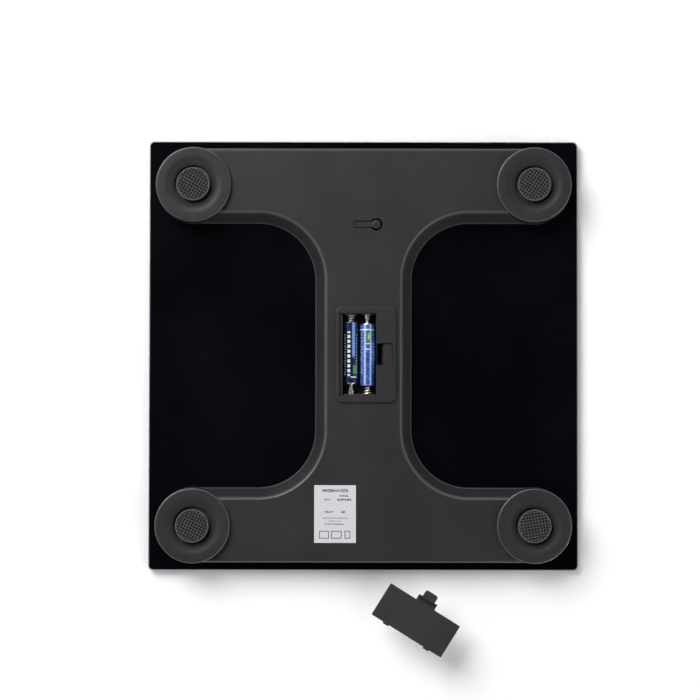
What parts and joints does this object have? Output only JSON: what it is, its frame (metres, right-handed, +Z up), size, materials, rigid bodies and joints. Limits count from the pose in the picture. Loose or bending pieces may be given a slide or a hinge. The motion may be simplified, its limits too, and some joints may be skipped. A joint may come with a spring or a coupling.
{
  "type": "digital bathroom scale",
  "caption": "Square glass bathroom scale on round feet, with a moulded housing beneath, an open battery bay and its cover lying beside it.",
  "frame": {"origin": "floor level under the middle of the glass platform, at the plane that the four rubber pads rest on", "axes": "+Z up through the platform, +Y towards the display end and +X to the right of a person standing on it facing the display"},
  "size_m": [0.3, 0.3588, 0.025],
  "materials": {
    "glass_clear": "polished toughened glass, clear, with ground and polished edges",
    "print_black": "black screen print under the glass, satin",
    "tape_black": "black foam tape",
    "housing_charcoal": "charcoal ABS with a fine spark-eroded grain",
    "pad_rubber": "black rubber with a cross-hatched face",
    "cell_steel": "stamped steel, satin",
    "contact_plate": "nickel-plated spring steel",
    "can_steel": "nickel-plated steel can",
    "sleeve_print": "printed plastic sleeve in navy, blue and green with plain bands",
    "gauge_sealant": "soft white sealant over a foil gauge",
    "board_green": "fibreglass board with a green solder mask",
    "component_tan": "small moulded and ceramic components",
    "chip_epoxy": "black epoxy drop",
    "display_grey": "grey liquid crystal panel",
    "elastomer_pink": "layered conductive silicone",
    "switch_red": "moulded switch plunger",
    "label_white": "white plastic label with plain grey bars",
    "lead_grey": "grey sleeved lead",
    "lead_red": "red stranded lead",
    "lead_black": "black stranded lead"
  },
  "bodies": {
    "base": {"glass_platform": "glass_clear", "back_print": "print_black", "adhesive_tape": "tape_black", "base_housing": "housing_charcoal", "foot_ring_front_left": "housing_charcoal", "foot_ring_front_right": "housing_charcoal", "foot_ring_rear_left": "housing_charcoal", "foot_ring_rear_right": "housing_charcoal", "load_cell_front_left": "cell_steel", "load_cell_front_right": "cell_steel", "load_cell_rear_left": "cell_steel", "load_cell_rear_right": "cell_steel", "strain_gauges": "gauge_sealant", "bridge_contact": "contact_plate", "positive_contact": "contact_plate", "negative_contact": "contact_plate", "main_board": "board_green", "board_screws": "cell_steel", "chip_cover": "chip_epoxy", "board_components": "component_tan", "display_panel": "display_grey", "display_frame": "housing_charcoal", "elastomer_strips": "elastomer_pink", "switch_body": "housing_charcoal", "rating_label": "label_white", "lead_front_left": "lead_grey", "lead_front_right": "lead_grey", "lead_rear_left": "lead_grey", "lead_rear_right": "lead_grey", "battery_lead_red": "lead_red", "battery_lead_black": "lead_black"},
    "foot_front_left": {"plunger_front_left": "housing_charcoal", "pad_front_left": "pad_rubber"},
    "foot_front_right": {"plunger_front_right": "housing_charcoal", "pad_front_right": "pad_rubber"},
    "foot_rear_left": {"plunger_rear_left": "housing_charcoal", "pad_rear_left": "pad_rubber"},
    "foot_rear_right": {"plunger_rear_right": "housing_charcoal", "pad_rear_right": "pad_rubber"},
    "cover": {"battery_cover": "housing_charcoal"},
    "latch": {"cover_latch": "housing_charcoal"},
    "cell_left": {"battery_left": "can_steel", "battery_sleeve_left": "sleeve_print"},
    "cell_right": {"battery_right": "can_steel", "battery_sleeve_right": "sleeve_print"},
    "key": {"unit_key": "housing_charcoal", "switch_plunger": "switch_red"}
  },
  "joints": [
    {"name": "foot_travel_front_left", "type": "slide", "parent": "base", "child": "foot_front_left", "axis": [0, 0, 1], "range_m": [0, 0.0006], "stiffness_N_per_m": 400000, "deforming": ["load_cell_front_left"]},
    {"name": "foot_travel_front_right", "type": "slide", "parent": "base", "child": "foot_front_right", "axis": [0, 0, 1], "range_m": [0, 0.0006], "stiffness_N_per_m": 400000, "deforming": ["load_cell_front_right"]},
    {"name": "foot_travel_rear_left", "type": "slide", "parent": "base", "child": "foot_rear_left", "axis": [0, 0, 1], "range_m": [0, 0.0006], "stiffness_N_per_m": 400000, "deforming": ["load_cell_rear_left"]},
    {"name": "foot_travel_rear_right", "type": "slide", "parent": "base", "child": "foot_rear_right", "axis": [0, 0, 1], "range_m": [0, 0.0006], "stiffness_N_per_m": 400000, "deforming": ["load_cell_rear_right"]},
    {"name": "cover_swing", "type": "hinge", "parent": "base", "child": "cover", "pos_m": [-0.18171, -0.0551, 0], "axis": [0, 0, 1], "range_deg": [0, 58.1]},
    {"name": "latch_press", "type": "slide", "parent": "cover", "child": "latch", "axis": [0.5284, -0.849, 0], "range_m": [0, 0.0009], "stiffness_N_per_m": 3500},
    {"name": "cell_left_out", "type": "slide", "parent": "base", "child": "cell_left", "axis": [0, 0, -1], "range_m": [0, 0.02]},
    {"name": "cell_right_out", "type": "slide", "parent": "base", "child": "cell_right", "axis": [0, 0, -1], "range_m": [0, 0.02]},
    {"name": "key_press", "type": "hinge", "parent": "base", "child": "key", "pos_m": [0.0063, 0.091, 0.0076], "axis": [0, 1, 0], "range_deg": [0, 1.8], "stiffness_Nm_per_rad": 1}
  ]
}
